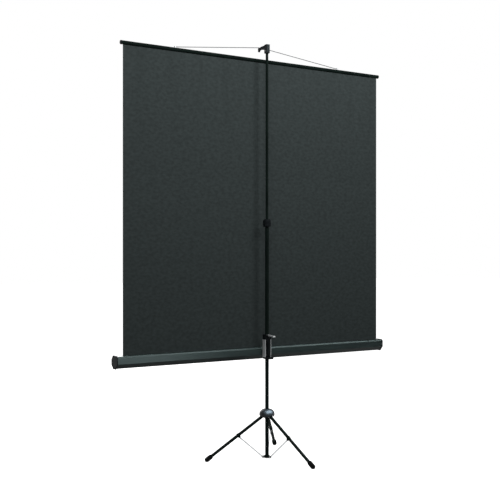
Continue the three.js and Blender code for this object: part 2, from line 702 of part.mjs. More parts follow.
function carriagePieces() {
  const low = carriageBottomZ;
  const top = low + carriageHeight;
  const crownLow = top - crownHeight;
  const lipTop = low + lipThickness;
  const wide = carriageHalfWidth;
  const overhangY = bracketFrontY - fitGap;
  const trunkPlan = roundedRectangle(-wide, wide, -carriageFront, carriageBack, carriageCorner);
  const trunk = upright(trunkPlan, low, top);
  const crownWide = crownHalfWidth;
  const crownPlan = roundedRectangle(-crownWide, crownWide, overhangY, carriageBack, carriageCorner);
  const lipPlan = roundedRectangle(-lipHalfWidth, lipHalfWidth, overhangY, lipReach, lipHalfWidth * 0.6);
  const gripBack = carriageBack + gripDepth;
  const gripPlan = roundedRectangle(-gripHalfWidth, gripHalfWidth, 0, gripBack, gripHalfWidth * 0.6);
  const grip = upright(gripPlan, low + 2.3 * lipThickness, crownLow - lipThickness * 1.5);
  const earBack = leverY + leverBoss + 1;
  const earIn = leverHalfWidth + slideGap;
  const ears = [-1, 1].map((sign) => block(
    sign > 0 ? [earIn, earIn + leverEarThickness] : [-earIn - leverEarThickness, -earIn],
    [carriageBack - 1, earBack], [leverZ - leverBoss - 4, top],
  ));
  const body = join(trunk, upright(crownPlan, crownLow, top), upright(lipPlan, low, lipTop), grip, ...ears);
  const bore = rod(mastRadius + slideGap, low - 1, top + 1, tubeSides);
  const leverGapLow = leverZ - leverBoss - 3;
  const leverGap = block([-earIn, earIn], [shoeBackY + fitGap, earBack + 1], [leverGapLow, top + 1]);
  const shoeX = shoeHalfWidth + fitGap;
  const shoeEnds = [shoeZ - shoeHeight / 2, shoeZ + shoeHeight / 2];
  const pocketEnds = [shoeEnds[0] - fitGap, shoeEnds[1] + fitGap];
  const shoePocket = block([-shoeX, shoeX], [0, shoeBackY + 2 * fitGap], pocketEnds);
  const pinReach = earIn + leverEarThickness;
  const pinHole = alongX(rod(leverPinRadius + fitGap, -pinReach - 1, pinReach + 1), leverY, leverZ);
  const headFace = -(mastRadius + slideGap) - pivotRivetHeadThickness - fitGap;
  const headPocket = alongY(rod(pivotRivetHead + fitGap, headFace - fitGap, 0, legSides), 0, pivotZ);
  const sleeve = cut(body, bore, leverGap, shoePocket, pinHole, headPocket, pivotRivetHole());

  const inside = wide + fitGap;
  const outside = inside + bracketThickness;
  const sideBack = bracketFrontY + bracketSide;
  const channel = outlineShape([
    [-outside, bracketFrontY], [outside, bracketFrontY], [outside, sideBack], [inside, sideBack],
    [inside, bracketBackY], [-inside, bracketBackY], [-inside, sideBack], [-outside, sideBack],
  ]);
  const bracket = cut(upright(channel, lipTop + fitGap, crownLow - fitGap), pivotRivetHole());
  const discFrontY = discBackY - pivotDiscThickness;
  const discProfile = ring(pivotRivetRadius + fitGap, pivotDiscRadius, discFrontY, discBackY, domeSides);
  const caseInside = caseBackY - caseWall - fitGap;
  const pivotRivet = turned([
    [0, caseInside - 3], [pivotRivetRadius * 2.2, caseInside - 3], [pivotRivetRadius * 2.2, caseInside],
    [pivotRivetRadius, caseInside], [pivotRivetRadius, headFace], [pivotRivetHead, headFace],
    [pivotRivetHead, headFace + pivotRivetHeadThickness], [0, headFace + pivotRivetHeadThickness],
  ], legSides);
  const shoe = cut(
    block([-shoeHalfWidth, shoeHalfWidth], [0, shoeBackY], shoeEnds),
    rod(mastRadius + fitGap, shoeZ - shoeHeight, shoeZ + shoeHeight, tubeSides),
  );
  return [
    piece('carriage_sleeve', sleeve, blackPlastic),
    piece('carrier_bracket', bracket, zincSteel),
    piece('pivot_disc', alongY(discProfile, 0, pivotZ), blackPlastic),
    piece('pivot_rivet', alongY(pivotRivet, 0, pivotZ), zincSteel),
    piece('brake_shoe', shoe, rubber),
    piece('lever_pin', alongX(rod(leverPinRadius, -pinReach, pinReach), leverY, leverZ), zincSteel),
  ];
}

function leverPiece() {
  const w = leverHalfWidth;
  const plan = new THREE.Shape();
  plan.moveTo(-w, 0);
  plan.lineTo(w, 0);
  plan.lineTo(w, leverLength - w);
  plan.absarc(0, leverLength - w, w, 0, Math.PI);
  const arm = upright(plan, -leverThickness / 2, leverThickness / 2, 8);
  arm.rotateX(-THREE.MathUtils.degToRad(leverDroop)).translate(0, leverY, leverZ);
  const boss = alongX(rod(leverBoss, -w, w, legSides), leverY, leverZ);
  const hole = alongX(rod(leverPinRadius + slideGap, -w - 1, w + 1), leverY, leverZ);
  return piece('release_lever', cut(join(boss, arm), hole), brightSteel);
}

// Hub that slides on the mast, with the legs' pivots under its dome

function roundLeg(geometry, letter) {
  return geometry.rotateZ(THREE.MathUtils.degToRad(legAzimuths[letter]));
}

function pivotBore(radius, x, z) {
  return alongY(rod(radius, -legRadius * 3, legRadius * 3), x, z);
}

function hubPieces() {
  const bore = mastRadius + slideGap;
  const sleeve = bore + hubSleeveWall;
  const low = hubPivotZ - hubSleeveBelow;
  const top = hubPivotZ + hubSleeveAbove;
  const plateLow = hubPivotZ + hubPlateLift;
  const plateTop = plateLow + hubPlateThickness;
  const core = turned([
    [bore, low], [sleeve, low], [sleeve, plateLow], [hubPlateRadius, plateLow], [hubPlateRadius, plateTop],
    [sleeve, plateTop], [sleeve, top], [bore, top], [bore, low],
  ], tubeSides);
  const ears = [];
  const holes = [];
  for (const letter of Object.keys(legAzimuths)) {
    const ear = new THREE.Shape();
    ear.moveTo(sleeve - 2, plateLow + 1);
    ear.lineTo(sleeve - 2, hubPivotZ - hubEarRadius);
    ear.lineTo(pivotRadius, hubPivotZ - hubEarRadius);
    ear.absarc(pivotRadius, hubPivotZ, hubEarRadius, -Math.PI / 2, 0);
    ear.lineTo(pivotRadius + hubEarRadius, plateLow + 1);
    const far = crosswise(ear, earInside, earInside + hubEarThickness);
    const near = crosswise(ear, -earInside - hubEarThickness, -earInside);
    ears.push(roundLeg(far, letter), roundLeg(near, letter));
    holes.push(roundLeg(pivotBore(legPinRadius + fitGap, pivotRadius, hubPivotZ), letter));
  }
  const mastWay = rod(bore, low - 1, top + 1, tubeSides);
  const spider = cut(join(core, ...ears), mastWay, ...holes);

  const rim = hubPivotZ - domeRimDrop;
  const waist = hubPivotZ + domeWaist;
  const crown = hubPivotZ + domeCrown;
  const seat = top + fitGap;
  const outside = [
    ...arcProfile(domeRimRadius, domeRadius, waist, rim).reverse(),
    ...arcProfile(sleeve, domeRadius, waist, crown).slice(1),
  ];
  const inside = [
    ...arcProfile(domeRimRadius - domeWall, domeRadius - domeWall, waist, rim).reverse(),
    ...arcProfile(sleeve, domeRadius - domeWall, waist, seat).slice(1),
  ];
  const wall = [...outside, [bore, crown], [bore, seat], ...inside.reverse(), outside[0]];
  const shell = turned(wall, domeSides);
  const slotHalf = legRadius + domeSlotGap;
  const slots = Object.keys(legAzimuths).map((letter) => roundLeg(
    block([pivotRadius, domeRadius + 1], [-slotHalf, slotHalf], [rim - 1, hubPivotZ + domeSlotTop]), letter,
  ));
  const dome = cut(shell, ...slots);
  return [
    piece('hub_spider', spider, blackPlastic),
    piece('hub_dome', dome, glossPlastic),
  ];
}

// Quarter oval from the outer radius at the first height to the inner radius at the other one.
function arcProfile(inner, outer, start, end) {
  const steps = 6;
  const points = [];
  for (let i = 0; i <= steps; i += 1) {
    const angle = (i / steps) * Math.PI / 2;
    points.push([inner + (outer - inner) * Math.cos(angle), start + (end - start) * Math.sin(angle)]);
  }
  return points;
}

// Collar at the mast's foot, with a pair of ears for each strut

function footCollarPiece() {
  const inner = mastRadius + fitGap;
  const outer = inner + collarWall;
  const low = footPivotZ - collarHalfHeight;
  const high = footPivotZ + collarHalfHeight;
  const ears = [];
  const holes = [];
  for (const letter of Object.keys(legAzimuths)) {
    const ear = new THREE.Shape();
    ear.moveTo(inner, footPivotZ - collarEarRadius);
    ear.lineTo(pivotRadius, footPivotZ - collarEarRadius);
    ear.absarc(pivotRadius, footPivotZ, collarEarRadius, -Math.PI / 2, Math.PI / 2);
    ear.lineTo(inner, footPivotZ + collarEarRadius);
    const far = crosswise(ear, strutHalf, strutHalf + collarEarThickness);
    const near = crosswise(ear, -strutHalf - collarEarThickness, -strutHalf);
    ears.push(roundLeg(far, letter), roundLeg(near, letter));
    holes.push(roundLeg(pivotBore(rivetRadius + fitGap, pivotRadius, footPivotZ), letter));
  }
  const mastWay = rod(inner, low - 1, high + 1, tubeSides);
  const collar = cut(join(ring(inner, outer, low, high), ...ears), mastWay, ...holes);
  return piece('mast_foot_collar', collar, blackPaint);
}

// One leg with its foot, strut and pivots, in a frame whose X runs out along the leg's azimuth

function legGroup(letter) {
  const side = new THREE.Group();
  side.rotation.z = THREE.MathUtils.degToRad(legAzimuths[letter]);

  const leg = new THREE.Group();
  leg.position.set(pivotRadius, 0, hubPivotZ);
  leg.rotation.y = -legAngle;
  const legEnd = -legLength + 2;
  const tube = ring(legRadius - legWall, legRadius, legEnd, legTopOverrun, legSides);
  leg.add(piece(`leg_tube_${letter}`, cut(tube, pivotBore(legPinRadius + fitGap, 0, 0)), blackPaint));
  const pinSeat = earInside + hubEarThickness + fitGap;
  const legPin = rivet(legPinRadius, legPinHead, rivetHeadThickness, -pinSeat, pinSeat);
  leg.add(piece(`leg_pivot_pin_${letter}`, alongY(legPin, 0, 0), zincSteel));
  leg.add(piece(`strut_clip_${letter}`, clipGeometry(), blackPaint));
  const clipSeat = strutHalf + clipEarThickness + fitGap;
  const clipRivet = rivet(rivetRadius, rivetHead, rivetHeadThickness, -clipSeat, clipSeat);
  leg.add(piece(`clip_rivet_${letter}`, alongY(clipRivet, -clipDrop, -clipPlace), zincSteel));
  side.add(leg);
  side.add(piece(`leg_foot_${letter}`, footGeometry(legEnd), rubber));

  const strut = new THREE.Group();
  strut.position.set(pivotRadius, 0, footPivotZ);
  strut.rotation.y = strutAngle;
  strut.add(piece(`strut_${letter}`, strutGeometry(), zincSteel));
  const footSeat = strutHalf + collarEarThickness + fitGap;
  const footRivet = rivet(rivetRadius, rivetHead, rivetHeadThickness, -footSeat, footSeat);
  strut.add(piece(`foot_rivet_${letter}`, alongY(footRivet, 0, 0), zincSteel));
  side.add(strut);
  return side;
}

// Clip round the leg, with two ears below it for the strut
function clipGeometry() {
  const bore = legRadius + fitGap;
  const half = clipLength / 2;
  const band = ring(bore, bore + clipWall, -clipPlace - half, -clipPlace + half, legSides);
  const ear = new THREE.Shape();
  ear.moveTo(-legRadius, -clipPlace - half);
  ear.lineTo(-legRadius, -clipPlace + half);
  ear.lineTo(-clipDrop, -clipPlace + strutEye);
  ear.absarc(-clipDrop, -clipPlace, strutEye, Math.PI / 2, 1.5 * Math.PI);
  const far = crosswise(ear, strutHalf, strutHalf + clipEarThickness);
  const near = crosswise(ear, -strutHalf - clipEarThickness, -strutHalf);
  const legWay = rod(bore, -clipPlace - clipLength, -clipPlace + clipLength, legSides);
  return cut(join(band, far, near), legWay, pivotBore(rivetRadius + fitGap, -clipDrop, -clipPlace));
}

// Flat bar with a round eye at each end
function strutGeometry() {
  const near = -strutThickness / 2;
  const far = strutThickness / 2;
  const bar = outlineShape([
    [-strutHalfWidth, 0], [strutHalfWidth, 0], [strutHalfWidth, strutLength], [-strutHalfWidth, strutLength],
  ]);
  const eye = alongY(rod(strutEye, near, far, legSides), 0, 0);
  const farEye = eye.clone().translate(0, 0, strutLength);
  const holes = [pivotBore(rivetRadius + fitGap, 0, 0), pivotBore(rivetRadius + fitGap, 0, strutLength)];
  return cut(join(crosswise(bar, near, far), eye, farEye), ...holes);
}

// Rubber foot: a sleeve with a round end, flat where it meets the floor
function footGeometry(legEnd) {
  const bore = legRadius + fitGap;
  const ball = -legLength;
  const top = ball + footSleeve;
  const profile = [
    [0, legEnd - fitGap], [bore, legEnd - fitGap], [bore, top], [footRadius - 2, top], [footRadius, top - 2],
  ];
  const steps = 4;
  for (let i = 0; i < steps; i += 1) {
    const angle = (i / steps) * Math.PI / 2;
    profile.push([footRadius * Math.cos(angle), ball - footRadius * Math.sin(angle)]);
  }
  profile.push([0, ball - footRadius]);
  const boot = turned(profile, legSides).rotateY(-legAngle).translate(pivotRadius, 0, hubPivotZ);
  const reach = footCentreRadius + 2 * footRadius;
  return cut(boot, block([0, reach], [-2 * footRadius, 2 * footRadius], [-2 * footRadius, 0]));
}

// The whole object, standing on z = 0 with its box centred on the origin

const screen = new THREE.Group();
screen.add(
  ...mastPieces(), ...lockPieces(), ...hookPieces(), clothPiece(), ...slatPieces(),
  ...casePieces(), ...rollerPieces(), ...carriagePieces(), leverPiece(),
  ...hubPieces(), footCollarPiece(),
);
for (const letter of Object.keys(legAzimuths)) {
  screen.add(legGroup(letter));
}
screen.updateMatrixWorld(true);
const bounds = new THREE.Box3().setFromObject(screen, true);
const middle = bounds.getCenter(new THREE.Vector3());
screen.position.set(-middle.x, -middle.y, -bounds.min.z);

export default screen;
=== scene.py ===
import json
import math

import bpy
from mathutils import Matrix, Vector


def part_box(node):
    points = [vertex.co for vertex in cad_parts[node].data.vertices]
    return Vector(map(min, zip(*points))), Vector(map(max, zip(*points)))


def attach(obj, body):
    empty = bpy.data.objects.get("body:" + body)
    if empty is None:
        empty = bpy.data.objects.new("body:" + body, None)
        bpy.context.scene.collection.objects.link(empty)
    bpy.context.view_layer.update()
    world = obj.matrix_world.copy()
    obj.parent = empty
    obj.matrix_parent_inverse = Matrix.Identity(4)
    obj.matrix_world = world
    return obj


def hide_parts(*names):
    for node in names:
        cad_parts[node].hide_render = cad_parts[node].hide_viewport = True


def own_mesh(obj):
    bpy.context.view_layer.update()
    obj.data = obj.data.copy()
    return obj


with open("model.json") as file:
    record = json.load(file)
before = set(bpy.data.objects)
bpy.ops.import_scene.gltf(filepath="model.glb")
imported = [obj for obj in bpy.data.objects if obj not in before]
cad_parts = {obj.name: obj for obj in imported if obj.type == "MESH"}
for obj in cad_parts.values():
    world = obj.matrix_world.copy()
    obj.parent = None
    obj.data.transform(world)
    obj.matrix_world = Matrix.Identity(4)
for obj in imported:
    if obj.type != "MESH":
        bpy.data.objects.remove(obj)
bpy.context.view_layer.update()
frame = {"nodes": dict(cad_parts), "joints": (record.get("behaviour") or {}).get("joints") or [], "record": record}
nodes = frame["nodes"]
bodyOf = {n: b for b, names in frame["record"]["behaviour"]["bodies"].items() for n in names}
jointOf = {j["name"]: j for j in frame["joints"]}
mountOf = {m["name"]: Vector(m["pos_m"]) for m in frame["record"]["mounts"]}
mm = 0.001


def boxMiddle(node):
    low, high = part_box(node)
    return (low + high) / 2


mast = boxMiddle("mast_lower_tube")    # the mast stands off the middle of the whole
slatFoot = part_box("top_slat")[0].z
print("frame loaded,", len(nodes), "nodes")


# camera, as the photo was taken from behind the mast
view = {
    "place": (mast.x + 2.778, mast.y + 4.363, 1.208),
    "yaw": 148.63,
    "lens": 62.76,
    "shiftY": 0.0088,
}
eyeData = bpy.data.cameras.new("photoCamera")
eyeData.sensor_width = 36
eyeData.lens = view["lens"]
eyeData.shift_y = view["shiftY"]
eye = bpy.data.objects.new("photoCamera", eyeData)
eye.location = view["place"]
eye.rotation_euler = (math.radians(90), 0, math.radians(view["yaw"]))
bpy.context.scene.collection.objects.link(eye)
bpy.context.scene.camera = eye
bpy.context.scene.view_settings.view_transform = "Standard"
print("camera set")


# materials
def hexColour(code):
    parts = [int(code[i:i + 2], 16) / 255 for i in (1, 3, 5)]
    return tuple(c / 12.92 if c <= 0.04045 else ((c + 0.055) / 1.055) ** 2.4 for c in parts) + (1,)


def perMetre(sizeMm):
    return 1000 / sizeMm


def addNode(tree, kind, feeds=None, **settings):
    node = tree.nodes.new(kind)
    for key, value in settings.items():
        setattr(node, key, value)
    for key, value in (feeds or {}).items():
        socket = node.inputs[key]
        if isinstance(value, bpy.types.NodeSocket):
            tree.links.new(value, socket)
        else:
            socket.default_value = value
    return node


def newMaterial(name):
    material = bpy.data.materials.new(name)
    material.use_nodes = True
    tree = material.node_tree
    tree.nodes.clear()
    shader = addNode(tree, "ShaderNodeBsdfPrincipled")
    addNode(tree, "ShaderNodeOutputMaterial", {"Surface": shader.outputs["BSDF"]})
    place = addNode(tree, "ShaderNodeTexCoord").outputs["Object"]
    return material, tree, shader, place


def blotch(tree, place, sizeMm, detail):
    return addNode(tree, "ShaderNodeTexNoise", {"Vector": place, "Scale": perMetre(sizeMm), "Detail": detail}).outputs["Fac"]


def tinted(tree, shader, factor, dark, pale, start=0.3, end=0.75):
    ramp = addNode(tree, "ShaderNodeValToRGB", {"Fac": factor})
    ramp.color_ramp.elements[0].position = start
    ramp.color_ramp.elements[0].color = hexColour(dark)
    ramp.color_ramp.elements[1].position = end
    ramp.color_ramp.elements[1].color = hexColour(pale)
    tree.links.new(ramp.outputs["Color"], shader.inputs["Base Color"])


def glossed(tree, shader, factor, smooth, rough):
    spread = addNode(tree, "ShaderNodeMapRange", {"Value": factor, "To Min": smooth, "To Max": rough})
    tree.links.new(spread.outputs["Result"], shader.inputs["Roughness"])


def bumped(tree, shader, height, strength, depthMm, over=None):
    bump = addNode(tree, "ShaderNodeBump", {"Height": height, "Strength": strength, "Distance": depthMm * mm})
    if over:
        tree.links.new(over, bump.inputs["Normal"])
    tree.links.new(bump.outputs["Normal"], shader.inputs["Normal"])
    return bump.outputs["Normal"]


# powder coat on steel tube: satin black with a faint orange peel and dusty patches
def blackPowderCoat():
    material, tree, shader, place = newMaterial("blackPowderCoat")
    patches = blotch(tree, place, 90, 4.0)
    tinted(tree, shader, patches, "#0b1311", "#151f1c", 0.35, 0.7)
    glossed(tree, shader, patches, 0.55, 0.68)
    bumped(tree, shader, blotch(tree, place, 1.6, 2.0), 0.12, 0.2)
    shader.inputs["IOR"].default_value = 1.09    # low, so the rims do not mirror the white room
    return material


# stoved enamel on the rolled case: green grey, drawn out along its length
def caseEnamel():
    material, tree, shader, place = newMaterial("caseEnamel")
    stretch = addNode(tree, "ShaderNodeMapping", {"Vector": place, "Scale": (0.08, 1.0, 1.0)})
    streak = blotch(tree, stretch.outputs["Vector"], 14, 5.0)
    tinted(tree, shader, streak, "#283232", "#313d3c")
    glossed(tree, shader, streak, 0.22, 0.28)
    bumped(tree, shader, blotch(tree, place, 2.2, 2.0), 0.05, 0.2)
    shader.inputs["IOR"].default_value = 1.125
    return material


# injection moulded nylon: matt black with the grain of a spark-eroded mould
def mouldedBlack():
    material, tree, shader, place = newMaterial("mouldedBlack")
    grain = blotch(tree, place, 0.9, 3.0)
    tinted(tree, shader, blotch(tree, place, 35, 3.0), "#0f1214", "#1a1e20", 0.3, 0.72)
    glossed(tree, shader, grain, 0.42, 0.6)
    bumped(tree, shader, grain, 0.25, 0.15)
    shader.inputs["IOR"].default_value = 1.1
    return material


# polished ABS dome: near black, with a soft shine and light handling marks
def polishedDome():
    material, tree, shader, place = newMaterial("polishedDome")
    smear = blotch(tree, place, 22, 6.0)
    tinted(tree, shader, smear, "#0b0d0f", "#15181a", 0.0, 1.0)
    glossed(tree, shader, smear, 0.36, 0.5)
    shader.inputs["IOR"].default_value = 1.2
    return material


# vulcanised rubber: dull and slightly dusty
def footRubber():
    material, tree, shader, place = newMaterial("footRubber")
    dust = blotch(tree, place, 8, 6.0)
    tinted(tree, shader, dust, "#111212", "#242525", 0.35, 0.8)
    bumped(tree, shader, dust, 0.2, 0.2)
    shader.inputs["Roughness"].default_value = 0.82
    shader.inputs["IOR"].default_value = 1.1
    return material


# zinc plated steel: pale grey metal with a cloudy passivated film
def zincPlate():
    material, tree, shader, place = newMaterial("zincPlate")
    cloud = blotch(tree, place, 12, 5.0)
    tinted(tree, shader, cloud, "#c6c9cb", "#dfe1e2")
    glossed(tree, shader, cloud, 0.36, 0.5)
    shader.inputs["Metallic"].default_value = 0.45    # the film hides part of the metal's mirror
    return material


# satin nickel plate on the lever: bright, with a soft haze over the metal
def satinNickel():
    material, tree, shader, place = newMaterial("satinNickel")
    draw = blotch(tree, place, 5, 4.0)
    tinted(tree, shader, draw, "#c2c5c8", "#dcdfe0", 0.0, 1.0)
    glossed(tree, shader, draw, 0.32, 0.46)
    shader.inputs["Metallic"].default_value = 0.5
    return material


# drawn spring steel of the hanger: mid grey with a dull drawn skin, the grey darkened below the bright wire's own
# colour as painted shade, so the thin wire does not mirror the white room
def drawnWireWithPaintedShade():
    material, tree, shader, place = newMaterial("drawnWireWithPaintedShade")
    skin = blotch(tree, place, 6, 4.0)
    # dark greys: partly the steel's own tone, partly painted shade
    tinted(tree, shader, skin, "#3a3d40", "#525558", 0.0, 1.0)
    glossed(tree, shader, skin, 0.35, 0.5)
    shader.inputs["Metallic"].default_value = 1.0
    return material


# natural acetal for the hidden bushes: milky and waxy
def milkyAcetal():
    material, tree, shader, place = newMaterial("milkyAcetal")
    tinted(tree, shader, blotch(tree, place, 10, 3.0), "#cfcdc4", "#e3e1d9", 0.0, 1.0)
    shader.inputs["Roughness"].default_value = 0.5
    return material


# woven glass cloth with a black coat behind: the weave is drawn at 6 mm, coarser than the real 0.5 mm, so it shows
def blackCoatedBack():
    material, tree, shader, place = newMaterial("blackCoatedBack")
    threads = [
        addNode(tree, "ShaderNodeTexWave", {
            "Vector": place, "Scale": perMetre(6) / 6.283, "Distortion": 1.2, "Detail": 2.0}, bands_direction=way)
        for way in ("X", "Z")
    ]
    weave = addNode(tree, "ShaderNodeMath", {
        0: threads[0].outputs["Fac"], 1: threads[1].outputs["Fac"]}, operation="MULTIPLY")
    along = addNode(tree, "ShaderNodeMapping", {"Vector": place, "Scale": (0.65, 1.0, 1.0)})
    slubs = blotch(tree, along.outputs["Vector"], 15, 1.5)    # thick spots, longer along the weft
    tinted(tree, shader, slubs, "#343a3a", "#3c4343", 0.3, 0.7)
    hang = addNode(tree, "ShaderNodeMapping", {"Vector": place, "Scale": (1.0, 1.0, 0.1)})
    height = addNode(tree, "ShaderNodeSeparateXYZ", {"Vector": place}).outputs["Z"]
    nearSlat = addNode(tree, "ShaderNodeMapRange", {"Value": height, "From Min": slatFoot - 0.7, "From Max": slatFoot})
    ripples = addNode(tree, "ShaderNodeMath", {
        0: blotch(tree, hang.outputs["Vector"], 110, 1.0), 1: nearSlat.outputs["Result"]}, operation="MULTIPLY")
    folds = bumped(tree, shader, ripples.outputs[0], 1.0, 50)    # slack that hangs from the slat, drawn deep to show
    bumped(tree, shader, weave.outputs[0], 0.08, 0.1, folds)
    shader.inputs["Roughness"].default_value = 0.85
    shader.inputs["IOR"].default_value = 1.12
    return material


# picture side: matt white coat with a faint cloth tooth
def mattWhiteFront():
    material, tree, shader, place = newMaterial("mattWhiteFront")
    tooth = blotch(tree, place, 4, 3.0)
    tinted(tree, shader, tooth, "#e6e6e2", "#f0f0ec", 0.0, 1.0)
    bumped(tree, shader, tooth, 0.1, 0.1)
    shader.inputs["Roughness"].default_value = 0.9
    return material


# flat black ink of the picture's border
def blackBorder():
    material, tree, shader, place = newMaterial("blackBorder")
    tinted(tree, shader, blotch(tree, place, 4, 3.0), "#111213", "#1a1b1c", 0.0, 1.0)
    shader.inputs["Roughness"].default_value = 0.88
    return material


finishes = {
    "black_paint": blackPowderCoat(),
    "case_paint": caseEnamel(),
    "black_plastic": mouldedBlack(),
    "gloss_plastic": polishedDome(),
    "rubber": footRubber(),
    "zinc_steel": zincPlate(),
    "bright_steel": satinNickel(),
    "nylon": milkyAcetal(),
    "cloth": blackCoatedBack(),
}
slotOf = {s["node"]: s["material_slot"] for s in frame["record"]["subparts"]}
for name, node in nodes.items():
    node.data.materials.clear()
    node.data.materials.append(finishes[slotOf[name]])
print("materials made")


# hands on a piece
def clearSelection():
    if bpy.context.object and bpy.context.object.mode != "OBJECT":
        bpy.ops.object.mode_set(mode="OBJECT")
    bpy.ops.object.select_all(action="DESELECT")


def takeUp(piece):
    clearSelection()
    piece.select_set(True)
    bpy.context.view_layer.objects.active = piece


def settle(piece):
    takeUp(piece)
    bpy.ops.object.transform_apply(location=True, rotation=True, scale=True)


def smoothPiece(piece, degrees):
    takeUp(piece)
    bpy.ops.object.shade_smooth_by_angle(angle=math.radians(degrees))


def applyModifiers(piece):
    takeUp(piece)
    for modifier in list(piece.modifiers):
        bpy.ops.object.modifier_apply(modifier=modifier.name)


def softenEdges(piece, radiusMm, segments=3, fromAngle=35):
    bevel = piece.modifiers.new("softEdge", "BEVEL")
    bevel.width = radiusMm * mm
    bevel.segments = segments
    bevel.limit_method = "ANGLE"
    bevel.angle_limit = math.radians(fromAngle)
    bevel.use_clamp_overlap = True
    applyModifiers(piece)


finished = {}


def putOn(piece, node):
    finished[node] = piece
    piece.name = node + "Finished"
    piece.data.materials.clear()
    piece.data.materials.append(finishes[slotOf[node]])
    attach(piece, bodyOf[node])
    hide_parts(node)


# a turned piece from (radius, height) points in mm; a ring is open along its axis
def turnedPiece(profile, sides, ring=False):
    clearSelection()
    radius, height = profile[0]
    bpy.ops.mesh.primitive_circle_add(
        vertices=sides, radius=radius * mm, location=(0, 0, height * mm), fill_type="NOTHING" if ring else "NGON")
    piece = bpy.context.object
    settle(piece)
    bpy.ops.object.mode_set(mode="EDIT")
    bpy.ops.mesh.select_all(action="SELECT")
    for nextRadius, nextHeight in profile[1:]:
        step = {"value": (0, 0, (nextHeight - height) * mm)}
        if ring:
            bpy.ops.mesh.extrude_edges_move(TRANSFORM_OT_translate=step)
        else:
            bpy.ops.mesh.extrude_region_move(TRANSFORM_OT_translate=step)
        grow = nextRadius / radius
        bpy.ops.transform.resize(value=(grow, grow, 1), center_override=(0, 0, nextHeight * mm))
        radius, height = nextRadius, nextHeight
    if ring:
        bpy.ops.mesh.select_all(action="DESELECT")
        bpy.ops.mesh.select_mode(type="EDGE")
        bpy.ops.mesh.select_non_manifold()
        bpy.ops.mesh.bridge_edge_loops()
    bpy.ops.mesh.select_all(action="SELECT")
    bpy.ops.mesh.normals_make_consistent(inside=False)
    bpy.ops.object.mode_set(mode="OBJECT")
    return piece


# a turned piece set with its foot at a place and its height along a direction
def standAlong(piece, place, direction):
    piece.matrix_world = Matrix.Translation(place) @ direction.to_track_quat("Z", "Y").to_matrix().to_4x4()
    settle(piece)
    return piece


def twin(piece):
    copy = piece.copy()
    copy.data = piece.data.copy()
    bpy.context.scene.collection.objects.link(copy)
    return copy


def arc(centreRadius, centreHeight, reach, rise, start, end, steps):
    turns = [math.radians(start + (end - start) * i / steps) for i in range(steps + 1)]
    return [(centreRadius + reach * math.cos(t), centreHeight + rise * math.sin(t)) for t in turns]


def cutAway(piece, cutter):
    trim = piece.modifiers.new("cutAway", "BOOLEAN")
    trim.operation = "DIFFERENCE"
    trim.solver = "EXACT"
    trim.object = cutter
    applyModifiers(piece)
    bpy.data.objects.remove(cutter)


def joined(pieces):
    clearSelection()
    for piece in pieces:
        piece.select_set(True)
    bpy.context.view_layer.objects.active = pieces[0]
    bpy.ops.object.join()
    return pieces[0]


# rounded copies of the moulded and pressed pieces, edge radius in mm
edges = {
    "hook_head": 1.6,
    "carriage_sleeve": 1.2,
    "carrier_bracket": 0.5,
    "pivot_disc": 0.8,
    "release_lever": 1.6,
    "lever_pin": 0.5,
    "hook_pin": 0.4,
    "case_end_cap_left": 0.6,
    "case_end_cap_right": 0.6,
    "case_shell": 0.6,
    "hub_spider": 0.6,
    "mast_foot_collar": 0.8,
    "strut_a": 0.5,
    "strut_b": 0.5,
    "strut_c": 0.5,
    "strut_clip_a": 0.4,
    "strut_clip_b": 0.4,
    "strut_clip_c": 0.4,
    "top_slat": 0.3,
    "hanger_eye_left": 0.5,
    "hanger_eye_right": 0.5,
    "hanger_wire": 0.3,
}


def roundedCopy(node, radius):
    piece = twin(nodes[node])
    piece.parent = None
    for key in list(piece.keys()):
        del piece[key]
    takeUp(piece)
    bpy.ops.object.mode_set(mode="EDIT")
    bpy.ops.mesh.select_all(action="SELECT")
    bpy.ops.mesh.remove_doubles(threshold=0.01 * mm)
    bpy.ops.mesh.dissolve_limited(angle_limit=math.radians(1))
    bpy.ops.object.mode_set(mode="OBJECT")
    softenEdges(piece, radius)
    smoothPiece(piece, 48)
    flat = piece.modifiers.new("flatFaces", "WEIGHTED_NORMAL")
    flat.keep_sharp = True
    applyModifiers(piece)
    putOn(piece, node)


for node, radius in edges.items():
    roundedCopy(node, radius)
# the hanger wire takes the darkened grey, painted shade over its own bright metal
finished["hanger_wire"].data.materials[0] = drawnWireWithPaintedShade()
print("edges rounded on", len(edges), "pieces")


# mast tubes, drawn steel with a rolled rim at each end
tubes = {
    "mast_lower_tube": {"radius": 11.1, "wall": 1.2},
    "mast_upper_tube": {"radius": 8.0, "wall": 1.0},
}
for node, tube in tubes.items():
    low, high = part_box(node)
    length = (high.z - low.z) / mm
    outer, inner, rim = tube["radius"], tube["radius"] - tube["wall"], 0.3
    piece = turnedPiece([
        (inner, rim), (inner + rim, 0), (outer - rim, 0), (outer, rim),
        (outer, length - rim), (outer - rim, length), (inner + rim, length), (inner, length - rim),
    ], 64, ring=True)
    standAlong(piece, (mast.x, mast.y, low.z), Vector((0, 0, 1)))
    smoothPiece(piece, 40)
    putOn(piece, node)
print("mast tubes turned")


